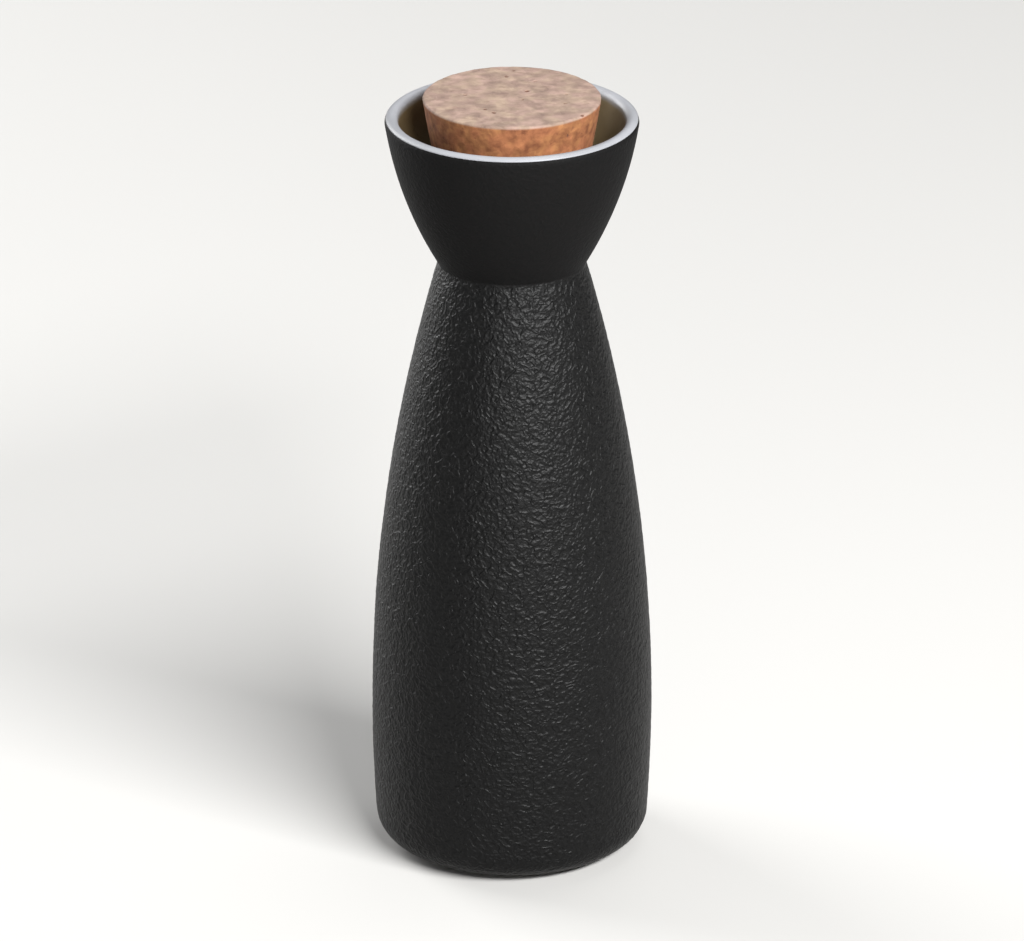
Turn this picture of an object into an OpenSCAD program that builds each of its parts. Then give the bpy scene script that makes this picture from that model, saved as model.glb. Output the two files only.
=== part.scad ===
// Stoneware sake bottle (tokkuri) with a funnel mouth and a tapered cork.
// Every piece is turned about Z. The origin is the centre of the foot ring's
// resting face. Profiles are lists of [radius, height] points in millimetres.

/* [Bottle outline] */
// Height over the lip
bottle_h = 165; // [155:1:180]
// Diameter across the mouth
mouth_d = 53.4; // [50:0.1:56]
// Diameter of the waist, where the funnel meets the body
waist_d = 31.1; // [30:0.1:32]
// Height of the waist
waist_z = 132.6; // [130:0.1:136]
// Widest diameter of the belly
belly_d = 59.9; // [56:0.1:62]
// Height of the widest part of the belly
belly_z = 31; // [26:0.5:42]
// Outward lean of the funnel wall at the lip, in degrees
lip_lean = 9; // [5:0.1:10]
// Radius of the rounded bottom edge
heel_r = 6; // [4:0.5:8]

/* [Walls] */
// Wall of the funnel, glaze included, which is also the width of the lip
funnel_wall = 2.8; // [2.6:0.1:3.2]
// Wall of the body, glaze included
body_wall = 3.6; // [3:0.1:4.5]
// Height of the inside floor
floor_z = 5.4; // [5:0.1:7]
// Radius of the inside corner between wall and floor
floor_r = 10; // [6:1:12]
// Thickness of each glaze coat
glaze_t = 0.4; // [0.3:0.05:0.5]
// Angle on the outer side of the lip where black glaze gives way to pale
lip_split = 34; // [20:1:45]

/* [Foot] */
// Outer diameter of the bare foot ring
foot_d = 43; // [40:0.5:44]
// Width of the foot ring
foot_w = 3.8; // [3:0.1:5]
// Height of the foot ring
foot_h = 1.2; // [1:0.1:1.6]
// Height of the recess inside the foot ring
recess_z = 1.5; // [1.2:0.1:1.8]
// Chamfer of the foot ring's edges
foot_chamfer = 0.4; // [0.2:0.1:0.6]

/* [Cork] */
// Diameter of the cork's top
cork_top_d = 37.4; // [36:0.1:38]
// Diameter of the cork's lower end
cork_end_d = 23.3; // [22:0.1:24]
// Length of the cork
cork_len = 41; // [39:0.5:42]
// Height of the cork's top above the lip
cork_proud = 4.2; // [4:0.1:6]
// Chamfer of the cork's edges
cork_chamfer = 0.5; // [0.3:0.1:0.8]
// Radial clearance between the cork and its seat
cork_gap = 0.1; // [0.05:0.05:0.2]
// Reach of the cork's seat below the waist
seat_drop = 4; // [2:0.5:4.5]
// Height below the waist at which the throat has opened into the body
throat_drop = 10; // [8:0.5:12]

/* [Hidden] */
round_fn = 96;

// One long arc makes the body, from heel to waist, and another the funnel.
waist = [waist_d / 2, waist_z];
body_rise = waist_z - belly_z;
body_draw = (belly_d - waist_d) / 2;
body_arc_r = (body_rise * body_rise + body_draw * body_draw) / (2 * body_draw);
body_c = [belly_d / 2 - body_arc_r, belly_z];

lip_r = funnel_wall / 2;
lip_c = [mouth_d / 2 - lip_r, bottle_h - lip_r];
lip_out = [cos(lip_lean), -sin(lip_lean)];
funnel_chord = waist - (lip_c + lip_r * lip_out);
funnel_arc_r = -(funnel_chord * funnel_chord) / (2 * funnel_chord * lip_out);
funnel_c = lip_c - (funnel_arc_r - lip_r) * lip_out;

cork_taper = (cork_top_d - cork_end_d) / 2 / cork_len;
cork_top_z = bottle_h + cork_proud;
cork_end_z = cork_top_z - cork_len;

// --- Geometry of arcs and lines -------------------------------------------

// Points along an arc. A start of 1 leaves out the first point, where the
// outline before it already ends.
function arc(c, r, from, to, steps, start = 1) =
    [for (i = [start:steps]) let (a = from + (to - from) * i / steps) c + r * [cos(a), sin(a)]];

function angle_at(c, p) = atan2(p[1] - c[1], p[0] - c[0]);

// Where two circles meet, on the side away from the axis.
function circles_meet(c1, r1, c2, r2) =
    let (d = c2 - c1, gap = norm(d), u = d / gap)
    let (along = (gap * gap + r1 * r1 - r2 * r2) / (2 * gap))
    let (across = sqrt(r1 * r1 - along * along))
    let (a = c1 + along * u + across * [-u[1], u[0]], b = c1 + along * u - across * [-u[1], u[0]])
    a[0] > b[0] ? a : b;

// Where a line through p with radius growing by slope per millimetre of
// height meets a circle, at the lower of the two points.
function line_meets_circle(p, slope, c, r) =
    let (u = [slope, 1] / norm([slope, 1]), q = p - c, k = q * u)
    p - (k + sqrt(k * k - q * q + r * r)) * u;

// Centre of a corner arc that touches the body arc and a floor at height z.
function corner_centre(wall_r, corner_r, z) =
    let (rise = z + corner_r - body_c[1])
    [body_c[0] + sqrt(pow(wall_r - corner_r, 2) - rise * rise), z + corner_r];

function circle_point_at_height(c, r, z) = [c[0] + sqrt(r * r - pow(z - c[1], 2)), z];

function seat_point(z, t) = [cork_top_d / 2 - cork_taper * (cork_top_z - z) + cork_gap + t, z];

// --- Outlines: t is the depth below the glazed surface --------------------

// The outside, from the foot ring up to the start of the lip.
function outside(t) =
    let (heel_c = corner_centre(body_arc_r, heel_r, foot_h))
    let (crease = circles_meet(body_c, body_arc_r - t, funnel_c, funnel_arc_r - t))
    let (heel_a = angle_at(body_c, heel_c), waist_a = angle_at(body_c, crease))
    concat(
        [[foot_d / 2, foot_h + t]],
        arc(heel_c, heel_r - t, -90, heel_a, 8, start = 0),
        arc(body_c, body_arc_r - t, heel_a, waist_a, 30),
        arc(funnel_c, funnel_arc_r - t, angle_at(funnel_c, crease), -lip_lean, 12)
    );

function lip(t, from, to, steps, start = 1) = arc(lip_c, lip_r - t, from, to, steps, start);

// The inside, from the lip down to the middle of the floor. Here t is the
// depth below the pale glaze.
function inside(t) =
    let (funnel_in = funnel_arc_r - funnel_wall + t, body_in = body_arc_r - body_wall + t)
    let (floor_c = corner_centre(body_arc_r - body_wall, floor_r, floor_z))
    let (seat_low = seat_point(waist_z - seat_drop, t))
    let (seat_top = line_meets_circle(seat_low, cork_taper, funnel_c, funnel_in))
    let (throat = circle_point_at_height(body_c, body_in, waist_z - throat_drop))
    let (floor_a = angle_at(body_c, floor_c))
    concat(
        arc(funnel_c, funnel_in, -lip_lean, angle_at(funnel_c, seat_top), 12),
        [seat_low],
        arc(body_c, body_in, angle_at(body_c, throat), floor_a, 26, start = 0),
        arc(floor_c, floor_r + t, floor_a, -90, 8),
        [[0, floor_z - t]]
    );

function backwards(points) = [for (i = [len(points) - 1:-1:0]) points[i]];

function foot_ring() =
    let (outer = foot_d / 2, inner = foot_d / 2 - foot_w)
    [
        [0, recess_z],
        [inner, recess_z],
        [inner, foot_chamfer],
        [inner + foot_chamfer, 0],
        [outer - foot_chamfer, 0],
        [outer, foot_chamfer]
    ];

// --- Pieces ---------------------------------------------------------------

module turned(points) {
    rotate_extrude($fn = round_fn) polygon(points);
}

// Fired clay, bare only at the foot ring and the recess inside it.
module bottle_body() {
    color([0.16, 0.15, 0.14])
        turned(concat(
            foot_ring(),
            outside(glaze_t),
            lip(glaze_t, -lip_lean, 180 - lip_lean, 12),
            inside(glaze_t)
        ));
}

// Textured black glaze, from the foot ring to the outer edge of the lip.
module outer_glaze() {
    color([0.10, 0.10, 0.10])
        turned(concat(
            outside(0),
            lip(0, -lip_lean, lip_split, 3),
            backwards(lip(glaze_t, -lip_lean, lip_split, 3)),
            backwards(outside(glaze_t))
        ));
}

// Pale glaze over the lip and the whole inside.
module liner_glaze() {
    color([0.72, 0.66, 0.56])
        turned(concat(
            lip(0, lip_split, 180 - lip_lean, 9, start = 0),
            inside(0),
            backwards(inside(glaze_t)),
            backwards(lip(glaze_t, lip_split, 180 - lip_lean, 9, start = 0))
        ));
}

// Tapered cork, wedged in the throat and standing proud of the lip.
module cork_stopper() {
    color([0.72, 0.52, 0.38])
        turned([
            [0, cork_end_z],
            [cork_end_d / 2 - cork_chamfer, cork_end_z],
            [cork_end_d / 2 + cork_chamfer * cork_taper, cork_end_z + cork_chamfer],
            [cork_top_d / 2 - cork_chamfer * cork_taper, cork_top_z - cork_chamfer],
            [cork_top_d / 2 - cork_chamfer, cork_top_z],
            [0, cork_top_z]
        ]);
}

bottle_body();
outer_glaze();
liner_glaze();
cork_stopper();
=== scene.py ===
"""Looks of a stoneware sake bottle with a cork stopper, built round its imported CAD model.

Lengths are in millimetres until a mesh is made, which turns them into metres.
An outline is a list of (radius, height) points in the half plane beside the axis.
"""

import math

import bpy
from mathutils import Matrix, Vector, noise


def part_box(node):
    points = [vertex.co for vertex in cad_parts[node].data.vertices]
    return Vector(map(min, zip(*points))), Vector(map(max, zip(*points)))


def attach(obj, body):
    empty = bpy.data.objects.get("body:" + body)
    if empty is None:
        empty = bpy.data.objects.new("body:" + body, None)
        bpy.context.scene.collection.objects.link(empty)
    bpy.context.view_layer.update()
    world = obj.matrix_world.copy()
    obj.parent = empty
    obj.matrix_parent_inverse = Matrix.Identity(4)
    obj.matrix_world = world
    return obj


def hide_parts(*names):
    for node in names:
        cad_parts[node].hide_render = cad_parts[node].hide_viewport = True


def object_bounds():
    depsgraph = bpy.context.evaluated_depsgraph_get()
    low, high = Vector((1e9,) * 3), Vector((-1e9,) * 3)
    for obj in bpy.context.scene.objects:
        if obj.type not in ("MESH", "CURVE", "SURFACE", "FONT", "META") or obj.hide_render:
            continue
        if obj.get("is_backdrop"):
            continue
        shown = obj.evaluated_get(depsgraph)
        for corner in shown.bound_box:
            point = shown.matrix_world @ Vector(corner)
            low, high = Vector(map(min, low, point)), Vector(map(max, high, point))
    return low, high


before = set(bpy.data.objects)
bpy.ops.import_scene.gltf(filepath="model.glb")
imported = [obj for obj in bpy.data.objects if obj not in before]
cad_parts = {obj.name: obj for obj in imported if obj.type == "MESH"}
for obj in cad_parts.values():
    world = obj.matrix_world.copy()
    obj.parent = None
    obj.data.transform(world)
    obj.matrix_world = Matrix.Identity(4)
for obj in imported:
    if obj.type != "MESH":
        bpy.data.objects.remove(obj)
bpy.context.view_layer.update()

# Without a seed, noise_vector would give another pattern in each run.
noise.seed_set(7)

MM = 0.001

# --- Sizes, in millimetres --------------------------------------------------

GLAZE_T = 0.4
# Radius of the full round on the lip, and the lean of the funnel's wall there
LIP_R = 1.4
LIP_LEAN = math.radians(9)
# Angle on the outer side of the lip where the black glaze gives way to the pale one
LIP_SPLIT = math.radians(34)
# How much further the black glaze runs on, hidden under the pale one
LIP_OVERLAP = math.radians(25)
HEEL_R = 6.0
FLOOR_R = 10.0
CORK_EDGE_R = 0.5

# Heights between which the cork's seat and the throat below it are measured
THROAT_TOP = 136
THROAT_LOW = 122
THROAT_STEP = 0.5

# Relief, measured from the nominal wall outwards, and the size of its features
WRINKLE_SIZE = 1.7
WRINKLE_DEPTH = 0.05
GRAIN_SIZE = 1.3
GRAIN_DEPTH = 0.012
WOBBLE_SIZE = 26
WOBBLE_DEPTH = 0.08
SWELL_DEPTH = 0.05
POOL_SIZE = 12
POOL_DEPTH = 0.04
GRANULE_SIZE = 2.1
GRANULE_DEPTH = 0.04
PORE_SIZE = 0.9
PORE_DEPTH = 0.02
PIT_DEPTH = 0.3
# Each granule has its own value from -1 to 1, and those below this one are torn out.
TORN_BELOW = -0.8

# Density of the meshes: vertices round the axis, and spacing along the outline
GLAZE_AROUND = 308
GLAZE_STEP = 0.59
FUNNEL_STEP = GLAZE_STEP * 1.3
LINER_AROUND = 160
LINER_STEP = 1.2
DEEP_INSIDE_STEP = 3
CORK_AROUND = 288
CORK_STEP = 0.4

# Directions in the half plane, as angles
DOWN = -math.pi / 2
UP = math.pi / 2


# --- Measuring the CAD model ------------------------------------------------


def wall_radius(node, height, from_axis=False):
    """Radius of a turned CAD node's wall at a height, seen from outside or from the axis."""
    well_outside = 200
    beside_seam = 0.01
    start = Vector((0 if from_axis else well_outside, beside_seam, height)) * MM
    aim = Vector((1 if from_axis else -1, 0, 0))
    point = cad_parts[node].ray_cast(start, aim)[1]
    return point.x / MM


class Arc:
    """The circle through a turned wall's points at three heights."""

    def __init__(self, node, heights, from_axis=False):
        (x1, y1), (x2, y2), (x3, y3) = [(wall_radius(node, z, from_axis), z) for z in heights]
        s1, s2, s3 = x1 * x1 + y1 * y1, x2 * x2 + y2 * y2, x3 * x3 + y3 * y3
        divisor = 2 * (x1 * (y2 - y3) + x2 * (y3 - y1) + x3 * (y1 - y2))
        self.x = (s1 * (y2 - y3) + s2 * (y3 - y1) + s3 * (y1 - y2)) / divisor
        self.y = (s1 * (x3 - x2) + s2 * (x1 - x3) + s3 * (x2 - x1)) / divisor
        self.r = math.hypot(x1 - self.x, y1 - self.y)

    def radius(self, height, depth=0.0):
        """Radius from the axis at a height, on the circle sunk by a depth."""
        return self.x + math.sqrt((self.r - depth) ** 2 - (height - self.y) ** 2)

    def wall(self, start, end, step, depth=0.0):
        """Points along the circle from one height to another."""
        count = max(2, round(abs(end - start) / step))
        heights = [start + (end - start) * i / count for i in range(count + 1)]
        return [(self.radius(z, depth), z) for z in heights]

    def corner_centre(self, radius, height):
        """Centre of a corner arc that touches the circle from inside, and its angle there."""
        reach = self.r - radius
        centre = (self.x + math.sqrt(reach**2 - (height - self.y) ** 2), height)
        return centre, math.atan2(height - self.y, centre[0] - self.x)


def corner(centre, radius, start, end, count):
    """Points along a small arc, from one angle to another."""
    angles = [start + (end - start) * i / count for i in range(count + 1)]
    return [(centre[0] + radius * math.cos(a), centre[1] + radius * math.sin(a)) for a in angles]


def narrowest(node, low, high):
    """Height of a turned node's narrowest place, to a tenth of a millimetre."""
    heights = [z / 10 for z in range(low * 10, high * 10)]
    return min(heights, key=lambda z: wall_radius(node, z))


foot_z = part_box("outer_glaze")[0].z / MM
lip_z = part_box("liner_glaze")[1].z / MM
floor_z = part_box("liner_glaze")[0].z / MM + GLAZE_T
waist_z = narrowest("outer_glaze", 120, 145)

# Each long wall is one arc, fixed by its radius at three heights along it.
body = Arc("outer_glaze", (12, 70, 128))
funnel = Arc("outer_glaze", (138, 150, 162))
funnel_inside = Arc("liner_glaze", (138, 150, 162), from_axis=True)
body_inside = Arc("liner_glaze", (20, 70, 120), from_axis=True)

lip_low_z = lip_z - LIP_R - LIP_R * math.sin(LIP_LEAN)
lip_centre = (funnel.radius(lip_low_z) - LIP_R * math.cos(LIP_LEAN), lip_z - LIP_R)


# --- Meshes -----------------------------------------------------------------


def smooth_step(low, high, value):
    """0 below low, 1 above high, and an S-shaped rise between them."""
    t = min(1.0, max(0.0, (value - low) / (high - low)))
    return t * t * (3 - 2 * t)


def evenly(outline, step):
    """An outline's points at even spacing."""
    lengths = [0.0]
    for a, b in zip(outline, outline[1:]):
        lengths.append(lengths[-1] + math.dist(a, b))
    count = max(1, round(lengths[-1] / step))
    points, k = [], 0
    for i in range(count + 1):
        along = lengths[-1] * i / count
        while k < len(outline) - 2 and lengths[k + 1] < along:
            k += 1
        t = (along - lengths[k]) / (lengths[k + 1] - lengths[k])
        points.append(tuple(p + (q - p) * t for p, q in zip(outline[k], outline[k + 1])))
    return points


def normals(outline):
    """Unit normals of an outline, to the right of its direction of travel."""
    found = []
    for i in range(len(outline)):
        a = outline[max(0, i - 1)]
        b = outline[min(len(outline) - 1, i + 1)]
        along = Vector((b[0] - a[0], b[1] - a[1])).normalized()
        found.append((along.y, -along.x))
    return found


def ring_faces(low, high, around):
    """Faces between two rings. A ring of one vertex is a point on the axis."""
    if len(low) == 1 and len(high) == 1:
        return []
    steps = [(i, (i + 1) % around) for i in range(around)]
    if len(low) == 1:
        return [(low[0], high[j], high[i]) for i, j in steps]
    if len(high) == 1:
        return [(low[i], low[j], high[0]) for i, j in steps]
    return [(low[i], low[j], high[j], high[i]) for i, j in steps]


def turn(name, shown, backing, around, relief):
    """A closed mesh turned about Z from an outline that keeps its solid on the left.

    The outline is its shown part and then its backing, which is out of sight and smooth.
    relief(point) is how far a point of the shown part moves along its normal. The mesh
    keeps that as the attribute "relief", in millimetres.
    """
    on_axis = 1e-6
    verts, reliefs, rings = [], [], []
    outline = shown + backing
    for k, ((r, z), (nr, nz)) in enumerate(zip(outline, normals(outline))):
        count = around if r > on_axis else 1
        rings.append(range(len(verts), len(verts) + count))
        for i in range(count):
            angle = math.tau * i / around
            side = Vector((math.cos(angle), math.sin(angle), 0))
            point = side * r + Vector((0, 0, z))
            rise = relief(point) if k < len(shown) else 0.0
            verts.append((point + (side * nr + Vector((0, 0, nz))) * rise) * MM)
            reliefs.append(rise)
    faces = []
    for low, high in zip(rings, rings[1:] + rings[:1]):
        faces += ring_faces(low, high, around)
    mesh = bpy.data.meshes.new(name)
    mesh.from_pydata(verts, [], faces)
    mesh.polygons.foreach_set("use_smooth", [True] * len(faces))
    mesh.attributes.new("relief", "FLOAT", "POINT").data.foreach_set("value", reliefs)
    piece = bpy.data.objects.new(name, mesh)
    bpy.context.scene.collection.objects.link(piece)
    return piece


# --- The pieces -------------------------------------------------------------


def bent(point, size, reach):
    """A point pushed about by noise of a size as far as a reach, so that cells get uneven edges."""
    return point + noise.noise_vector(point / size) * reach


def wrinkle(point):
    """Height of the wrinkled glaze, about -1 to 1: uneven plateaus with grooves between them."""
    nearest = noise.voronoi(bent(point, size=2.6, reach=1.1) / WRINKLE_SIZE)[0]
    plateau = smooth_step(0.0, 0.55, nearest[1] - nearest[0])
    unevenness = noise.noise(point / 3.1)
    return 1.3 * plateau - 0.8 + 0.5 * unevenness


def black_relief(point):
    """Relief of the black glaze: wrinkled body, nearly smooth funnel, none at the lip."""
    below_waist = 1 - smooth_step(waist_z - 0.6, waist_z + 0.8, point.z)
    above_foot = smooth_step(foot_z, foot_z + 3, point.z)
    below_lip = 1 - smooth_step(lip_low_z - 3, lip_low_z + 0.5, point.z)
    wrinkles = WRINKLE_DEPTH * (below_waist * above_foot) * wrinkle(point)
    wobble = WOBBLE_DEPTH * noise.noise(point / WOBBLE_SIZE)
    grain = GRAIN_DEPTH * noise.noise(point / GRAIN_SIZE)
    return (wrinkles + wobble + grain) * below_lip


def black_glaze_coat():
    """The coat outside, from the foot ring up to its hidden edge under the pale glaze."""
    heel_centre, heel_angle = body.corner_centre(HEEL_R, foot_z + HEEL_R)
    heel = corner(heel_centre, HEEL_R, DOWN, heel_angle, count=12)
    heel_top = heel[-1][1]
    lip_edge = LIP_SPLIT + LIP_OVERLAP
    shown = evenly(heel[:-1] + body.wall(heel_top, waist_z, step=1), GLAZE_STEP)
    shown += evenly(funnel.wall(waist_z, lip_low_z, step=1), FUNNEL_STEP)[1:]
    shown += corner(lip_centre, LIP_R, -LIP_LEAN, lip_edge, count=6)[1:]
    backing = corner(lip_centre, LIP_R - GLAZE_T, lip_edge, -LIP_LEAN, count=3)
    backing += funnel.wall(backing[-1][1], waist_z + GLAZE_T, step=4, depth=GLAZE_T)[1:]
    backing += body.wall(waist_z, heel_top, step=8, depth=GLAZE_T)
    backing += corner(heel_centre, HEEL_R - GLAZE_T, heel_angle, DOWN, count=6)[1:]
    return turn("black_glaze_coat", shown, backing, GLAZE_AROUND, black_relief)


def pale_relief(point):
    """Relief of the pale glaze, which swells unevenly where it rolls over the lip."""
    swell = SWELL_DEPTH * smooth_step(lip_z - 4, lip_z - 1, point.z)
    unevenness = 1 + 0.6 * noise.noise(point / 7)
    return swell * unevenness + POOL_DEPTH * noise.noise(point / POOL_SIZE)


def throat_wall():
    """Measured points down the cork's seat and the throat, which are not one arc."""
    count = round((THROAT_TOP - THROAT_LOW) / THROAT_STEP)
    heights = [THROAT_TOP - THROAT_STEP * i for i in range(count + 1)]
    return [(wall_radius("liner_glaze", z, from_axis=True), z) for z in heights]


def pale_glaze_coat():
    """The coat inside, from its edge outside the lip down to the middle of the floor."""
    floor_centre, floor_angle = body_inside.corner_centre(FLOOR_R, floor_z + FLOOR_R)
    corner_top = floor_centre[1] + FLOOR_R * math.sin(floor_angle)
    inside_lip = math.pi - LIP_LEAN
    mid_floor_r = 8
    throat = throat_wall()
    shown = corner(lip_centre, LIP_R, LIP_SPLIT, inside_lip, count=14)
    shown += evenly(funnel_inside.wall(shown[-1][1], THROAT_TOP, step=1), LINER_STEP)[1:]
    shown += throat[1:]
    shown += evenly(body_inside.wall(THROAT_LOW, corner_top, step=1), DEEP_INSIDE_STEP)[1:]
    shown += corner(floor_centre, FLOOR_R, floor_angle, DOWN, count=9)[1:]
    shown += [(mid_floor_r, floor_z), (0, floor_z)]
    backing = [(0, floor_z - GLAZE_T)]
    backing += corner(floor_centre, FLOOR_R + GLAZE_T, DOWN, floor_angle, count=5)
    backing += body_inside.wall(corner_top, THROAT_LOW, step=6, depth=-GLAZE_T)[1:]
    backing += [(r + GLAZE_T, z) for r, z in reversed(throat)][1:]
    backing += funnel_inside.wall(THROAT_TOP, lip_low_z, step=3, depth=-GLAZE_T)[1:]
    backing += corner(lip_centre, LIP_R - GLAZE_T, inside_lip, LIP_SPLIT, count=7)[1:]
    return turn("pale_glaze_coat", shown, backing, LINER_AROUND, pale_relief)


def granule_value(centre, key):
    """A value from -1 to 1 that belongs to the granule round a centre, another one for each key."""
    return noise.cell(centre * key)


def granule_relief(point):
    """Relief of pressed cork: flat granules of slightly different height, with a few torn out."""
    distances, centres = noise.voronoi(bent(point, size=1.5, reach=0.6) / GRANULE_SIZE)
    height = granule_value(centres[0], key=19)
    torn = granule_value(centres[0], key=31) < TORN_BELOW
    pit = PIT_DEPTH * (1 - smooth_step(0.1, 0.3, distances[0])) if torn else 0.0
    return GRANULE_DEPTH * height + PORE_DEPTH * noise.noise(point / PORE_SIZE) - pit


def pressed_cork():
    """The tapered cork, whose side is measured a little in from its worn edges."""
    inset = 1
    low, high = [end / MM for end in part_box("cork_stopper")]
    end_r = wall_radius("cork_stopper", low.z + inset)
    top_r = wall_radius("cork_stopper", high.z - inset)
    taper = (top_r - end_r) / (high.z - low.z - 2 * inset)
    slant = math.atan(taper)
    low_centre = (end_r - taper * inset - CORK_EDGE_R, low.z + CORK_EDGE_R)
    high_centre = (top_r + taper * inset - CORK_EDGE_R, high.z - CORK_EDGE_R)
    low_edge = corner(low_centre, CORK_EDGE_R, DOWN, -slant, count=3)
    high_edge = corner(high_centre, CORK_EDGE_R, -slant, UP, count=4)
    shown = evenly([(0, low.z), low_edge[0]], CORK_STEP)[:-1] + low_edge
    shown += evenly([low_edge[-1], high_edge[0]], CORK_STEP)[1:]
    shown += high_edge[1:] + evenly([high_edge[-1], (0, high.z)], CORK_STEP)[1:]
    return turn("pressed_cork", shown, [], CORK_AROUND, granule_relief)


# --- Materials --------------------------------------------------------------


class Shader:
    """A node material with short calls for its nodes. Sizes are in millimetres."""

    def __init__(self, name):
        self.material = bpy.data.materials.new(name)
        self.material.use_nodes = True
        self.tree = self.material.node_tree
        self.principled = self.tree.nodes["Principled BSDF"]
        self.coords = self.add("TexCoord").outputs["Object"]

    def put(self, socket, value):
        """Links a socket to the value, or sets it."""
        if isinstance(value, bpy.types.NodeSocket):
            self.tree.links.new(value, socket)
        else:
            socket.default_value = value

    def add(self, kind, inputs=None, **settings):
        """A new node with its inputs and settings."""
        node = self.tree.nodes.new("ShaderNode" + kind)
        for key, value in settings.items():
            setattr(node, key, value)
        for key, value in (inputs or {}).items():
            self.put(node.inputs[key], value)
        return node

    def surface(self, **values):
        """Sets the Principled shader's own sockets, such as Base_Color."""
        for key, value in values.items():
            self.put(self.principled.inputs[key.replace("_", " ")], value)

    def noise(self, size, detail=2.0, coords=None, output="Fac"):
        inputs = {"Vector": coords or self.coords, "Scale": 1 / (size * MM), "Detail": detail}
        return self.add("TexNoise", inputs).outputs[output]

    def voronoi(self, size, coords, output="Distance"):
        inputs = {"Vector": coords, "Scale": 1 / (size * MM)}
        return self.add("TexVoronoi", inputs).outputs[output]

    def warped(self, size, reach):
        """The coordinates, pushed about by noise of a size as far as a reach."""
        push = self.noise(size, 1.0, output="Color")
        centred = self.add("VectorMath", {0: push, 1: (0.5, 0.5, 0.5)}, operation="SUBTRACT")
        inputs = {0: centred.outputs[0], "Scale": 2 * reach * MM}
        scaled = self.add("VectorMath", inputs, operation="SCALE")
        return self.add("VectorMath", {0: self.coords, 1: scaled.outputs[0]}).outputs[0]

    def span(self, value, low, high, to_low=0.0, to_high=1.0):
        """value, mapped from low..high to to_low..to_high and clamped."""
        inputs = {"Value": value, "From Min": low, "From Max": high}
        return self.add("MapRange", {**inputs, "To Min": to_low, "To Max": to_high}).outputs[0]

    def maths(self, operation, a, b=0.0):
        return self.add("Math", {0: a, 1: b}, operation=operation).outputs[0]

    def times(self, a, b):
        return self.maths("MULTIPLY", a, b)

    def plus(self, a, b):
        return self.maths("ADD", a, b)

    def mix(self, factor, a, b):
        """A colour between two colours."""
        node = self.add("Mix", {0: factor}, data_type="RGBA")
        self.put(node.inputs[6], a)
        self.put(node.inputs[7], b)
        return node.outputs[2]

    def mix_value(self, factor, a, b):
        """A number between two numbers."""
        return self.add("Mix", {0: factor, 2: a, 3: b}).outputs[0]

    def height(self):
        """Height above the bottle's foot, in metres."""
        return self.add("SeparateXYZ", {0: self.coords}).outputs["Z"]

    def relief(self):
        """The mesh's own relief, in millimetres."""
        return self.add("Attribute", attribute_name="relief").outputs["Fac"]

    def bump(self, height, depth):
        """Adds bumps of a depth in millimetres on top of those already there."""
        inputs = {"Height": height, "Distance": depth * MM, "Strength": 1.0}
        before = self.principled.inputs["Normal"]
        if before.links:
            inputs["Normal"] = before.links[0].from_socket
        self.put(before, self.add("Bump", inputs).outputs[0])


def colour(r, g, b):
    """A colour given in sRGB from 0 to 255, as the linear values that nodes hold."""
    parts = [c / 255 for c in (r, g, b)]
    linear = [c / 12.92 if c <= 0.04045 else ((c + 0.055) / 1.055) ** 2.4 for c in parts]
    return (*linear, 1.0)


def black_glaze():
    """Black glaze: wrinkled and slightly shiny on the body, finer and duller on the funnel, where a
    darker base colour is painted shade.
    """
    s = Shader("black_glaze")
    on_body = s.span(s.height(), (waist_z + 0.4) * MM, (waist_z - 0.2) * MM)
    # Ridges follow the lines where a noise passes through its middle value.
    pushed = s.warped(2.4, 0.9)
    off_middle = s.maths("ABSOLUTE", s.maths("SUBTRACT", s.noise(1.75, 1.0, pushed), 0.5))
    ridges = s.span(off_middle, 0.0, 0.14, 1.0, 0.0)
    grain = s.noise(0.88, 1.0, s.warped(1.4, 0.35))
    wrinkles = s.times(s.plus(s.times(ridges, 0.5), grain), s.mix_value(on_body, 0.3, 1.0))
    s.bump(wrinkles, 0.27)
    s.bump(s.noise(0.5, 2.0), 0.07)
    s.bump(s.noise(1.3, 2.0, pushed), 0.07)
    mottle = s.span(s.noise(0.8, 3.0), 0.35, 0.65)
    body_tone = s.mix(mottle, colour(4, 4, 4), colour(8, 8, 8))
    # The funnel has the same glaze as the body. Its darker base colour is painted shade, because
    # the funnel faces down.
    funnel_tone_painted_shade = s.mix(mottle, colour(1, 1, 1), colour(3, 2, 2))
    s.surface(Base_Color=s.mix(on_body, funnel_tone_painted_shade, body_tone))
    s.surface(Roughness=s.mix_value(on_body, 0.78, 0.48), Specular_IOR_Level=0.135)
    return s.material


def pale_glaze():
    """Pale glaze: cool grey on the rim, and inside warm, darkened with painted shade, and sparsely
    speckled.
    """
    s = Shader("pale_glaze")
    wavy_height = s.plus(s.height(), s.times(s.noise(5, 2.0), 0.8 * MM))
    below_rim = s.span(wavy_height, (lip_z - 0.2) * MM, (lip_z - 1.6) * MM)
    cloud = s.span(s.noise(14, 3.0), 0.35, 0.65)
    rim = s.mix(cloud, colour(124, 125, 129), colour(112, 113, 116))
    # Below the wavy line under the rim, the warm glaze is darkened with painted shade for the deep
    # funnel.
    inside = s.mix(cloud, colour(96, 82, 58), colour(82, 69, 47))
    dots = s.voronoi(1.9, s.warped(3.0, 0.8))
    few = s.span(s.noise(4.0, 1.0), 0.52, 0.6)
    specks = s.times(s.times(s.span(dots, 0.16, 0.09), few), below_rim)
    s.surface(Base_Color=s.mix(specks, s.mix(below_rim, rim, inside), colour(66, 52, 34)))
    s.surface(Roughness=s.span(s.noise(6, 2.0), 0.3, 0.7, 0.38, 0.5), Specular_IOR_Level=0.3)
    s.bump(s.noise(2.2, 2.0), 0.02)
    return s.material


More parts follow.
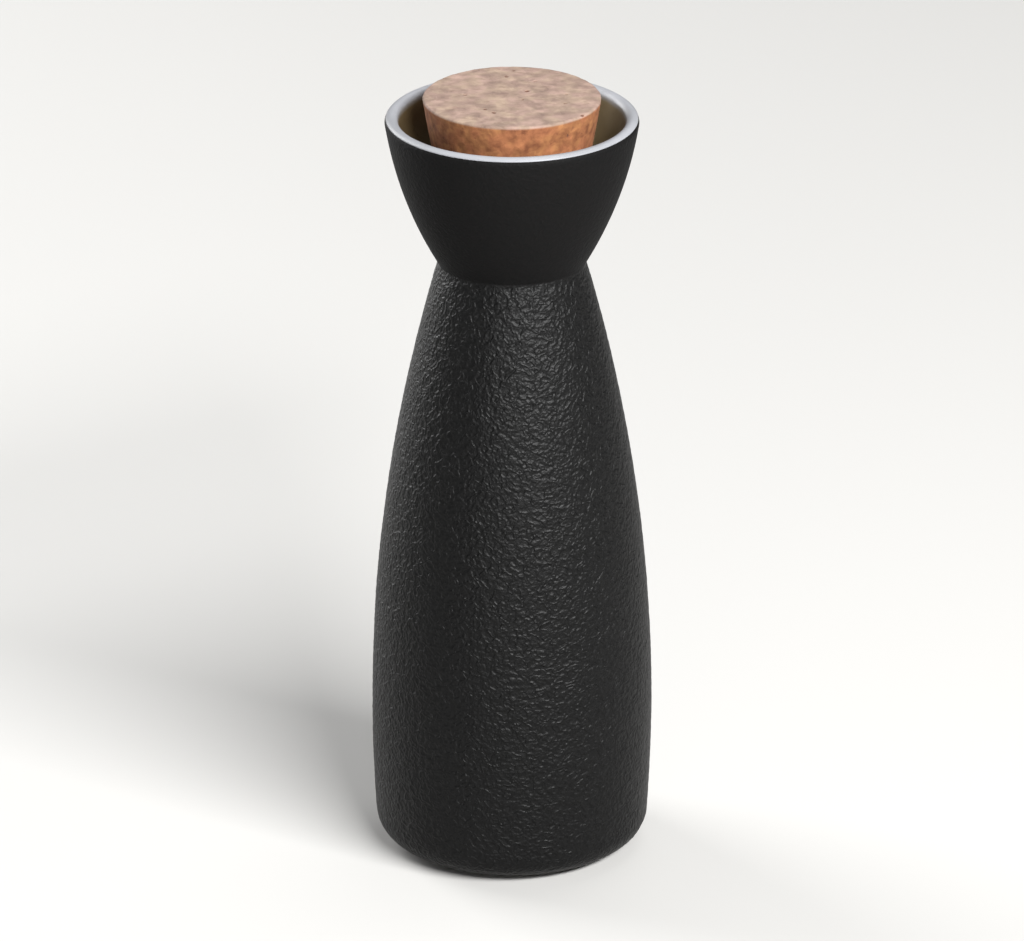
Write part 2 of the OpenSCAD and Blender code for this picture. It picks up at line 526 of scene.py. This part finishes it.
def fired_clay():
    """Bare clay: gritty, with the rings left by trimming on the wheel."""
    s = Shader("fired_clay")
    grit = s.noise(0.5, 3.0)
    tone = s.mix(s.span(grit, 0.35, 0.7), colour(74, 64, 55), colour(112, 98, 84))
    # At this scale the rings are 1.7 mm apart.
    ring_inputs = {"Vector": s.coords, "Scale": 180.0, "Distortion": 1.5}
    rings = s.add("TexWave", ring_inputs, wave_type="RINGS", rings_direction="Z")
    s.surface(Base_Color=tone, Roughness=0.9)
    s.bump(rings.outputs["Fac"], 0.04)
    s.bump(grit, 0.08)
    return s.material


def cork():
    """Pressed cork: an orange-brown side, a paler and greyer top, dark flecks, and pits darkened
    with painted shade.
    """
    s = Shader("cork")
    top_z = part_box("cork_stopper")[1].z
    on_top = s.span(s.height(), top_z - 0.7 * MM, top_z - 0.3 * MM)

    # Granules differ in tone, and softer blotches run across them.
    granules = s.voronoi(GRANULE_SIZE, s.warped(1.6, 0.7), "Color")
    tone = s.add("SeparateColor", {0: granules}).outputs[0]
    side_blotch = s.span(s.noise(1.9, 4.0, s.warped(2.0, 0.7)), 0.3, 0.7)
    top_blotch = s.span(s.noise(2.7, 4.0, s.warped(3.0, 0.8)), 0.28, 0.72)
    blotch = s.mix_value(on_top, side_blotch, top_blotch)
    blend = s.plus(s.times(tone, 0.25), s.times(blotch, 0.75))
    hue = s.span(s.noise(3.4, 1.0), 0.4, 0.6)
    side_light = s.mix(hue, colour(133, 90, 55), colour(133, 85, 55))
    top_light = s.mix(hue, colour(133, 115, 99), colour(135, 113, 102))
    side = s.mix(blend, colour(83, 46, 25), side_light)
    top = s.mix(blend, colour(90, 73, 65), top_light)
    grains = s.mix(on_top, side, top)

    # Streaks are stretched along X.
    stretch = {0: s.warped(2.0, 0.8), 1: (0.45, 1, 1)}
    stretched = s.add("VectorMath", stretch, operation="MULTIPLY").outputs[0]
    streaks = s.span(s.noise(1.3, 2.0, stretched), 0.58, 0.7)
    streak_tone = s.mix(on_top, colour(84, 45, 26), colour(82, 62, 54))
    streaked = s.mix(s.times(streaks, 0.35), grains, streak_tone)

    # Flecks are rarer on the top than on the side.
    dots = s.span(s.voronoi(1.7, s.warped(1.2, 0.5)), 0.2, 0.1)
    few_from = s.mix_value(on_top, 0.56, 0.69)
    few_to = s.mix_value(on_top, 0.64, 0.75)
    few = s.span(s.noise(2.6, 1.0), few_from, few_to)
    flecks = s.times(dots, few)
    flecked = s.mix(s.times(flecks, 0.6), streaked, colour(84, 43, 26))

    # Pits are darkened by their depth: painted shade in the torn-out hollows.
    pit_painted_shade = s.span(s.relief(), -0.08, -0.25)
    with_pit_painted_shade = s.mix(pit_painted_shade, flecked, colour(70, 42, 30))
    s.surface(Base_Color=with_pit_painted_shade, Roughness=0.85, Specular_IOR_Level=0.3)
    s.bump(s.noise(0.6, 3.0), 0.03)
    s.bump(flecks, -0.04)
    return s.material


def place(piece, body_name, replaced, material):
    """Gives a piece its material and its body, and hides the CAD node that it stands for."""
    piece.data.materials.append(material)
    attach(piece, body_name)
    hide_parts(replaced)


place(black_glaze_coat(), "bottle", "outer_glaze", black_glaze())
place(pale_glaze_coat(), "bottle", "liner_glaze", pale_glaze())
place(pressed_cork(), "stopper", "cork_stopper", cork())
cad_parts["bottle_body"].material_slots[0].material = fired_clay()


# --- Studio -----------------------------------------------------------------


def area_light(name, azimuth, elevation, distance, size, watts):
    """A soft light aimed at the bottle. Azimuth 0 is the camera's side, 90 the right."""
    target = Vector((0, 0, 100)) * MM
    lamp = bpy.data.lights.new(name, "AREA")
    lamp.shape = "RECTANGLE"
    lamp.size, lamp.size_y = size
    lamp.energy = watts
    light = bpy.data.objects.new(name, lamp)
    a, e = math.radians(azimuth), math.radians(elevation)
    away = Vector((math.sin(a) * math.cos(e), -math.cos(a) * math.cos(e), math.sin(e)))
    light.location = target + away * distance
    light.rotation_euler = away.to_track_quat("Z", "Y").to_euler()
    bpy.context.scene.collection.objects.link(light)


def studio_floor():
    """A plain floor, just below the foot so that the two don't share a plane."""
    half = 4.0
    level = -0.02 * MM
    mesh = bpy.data.meshes.new("studio_floor")
    corners = [(x * half, y * half, level) for x, y in ((-1, -1), (1, -1), (1, 1), (-1, 1))]
    mesh.from_pydata(corners, [], [(0, 1, 2, 3)])
    floor = bpy.data.objects.new("studio_floor", mesh)
    bpy.context.scene.collection.objects.link(floor)
    s = Shader("studio_floor")
    s.surface(Base_Color=colour(154, 153, 151), Roughness=0.9)
    mesh.materials.append(s.material)
    floor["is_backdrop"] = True


def camera(elevation, distance, view_height):
    """A long lens aimed at the middle of the bottle, level with the frame."""
    data = bpy.data.cameras.new("camera")
    frame_width, frame_height = 1024, 941
    data.lens = data.sensor_width * distance / (view_height * frame_width / frame_height)
    data.clip_start, data.clip_end = 0.05, 50
    eye = bpy.data.objects.new("camera", data)
    low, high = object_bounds()
    e = math.radians(elevation)
    back = Vector((0, -math.cos(e), math.sin(e)))
    eye.location = (low + high) / 2 + back * distance
    eye.rotation_euler = back.to_track_quat("Z", "Y").to_euler()
    bpy.context.scene.collection.objects.link(eye)
    bpy.context.scene.camera = eye


def surroundings(strength):
    """Even light from all round, a little bluer than white."""
    tint = (0.93, 0.96, 1.0, 1.0)
    world = bpy.data.worlds.new("surroundings")
    world.use_nodes = True
    background = world.node_tree.nodes["Background"]
    background.inputs["Color"].default_value = tint
    background.inputs["Strength"].default_value = strength
    bpy.context.scene.world = world


camera(elevation=22.4, distance=2.0, view_height=0.2)
studio_floor()
surroundings(0.2)
area_light("key", azimuth=33, elevation=35, distance=1.8, size=(1.3, 0.3), watts=122)
area_light("fill", azimuth=-6, elevation=8, distance=1.5, size=(0.6, 0.2), watts=5.5)
area_light("top", azimuth=150, elevation=68, distance=1.5, size=(0.8, 0.8), watts=8)
area_light("edge", azimuth=-128, elevation=24, distance=1.2, size=(0.7, 0.9), watts=21)
bpy.context.scene.view_settings.view_transform = "Standard"
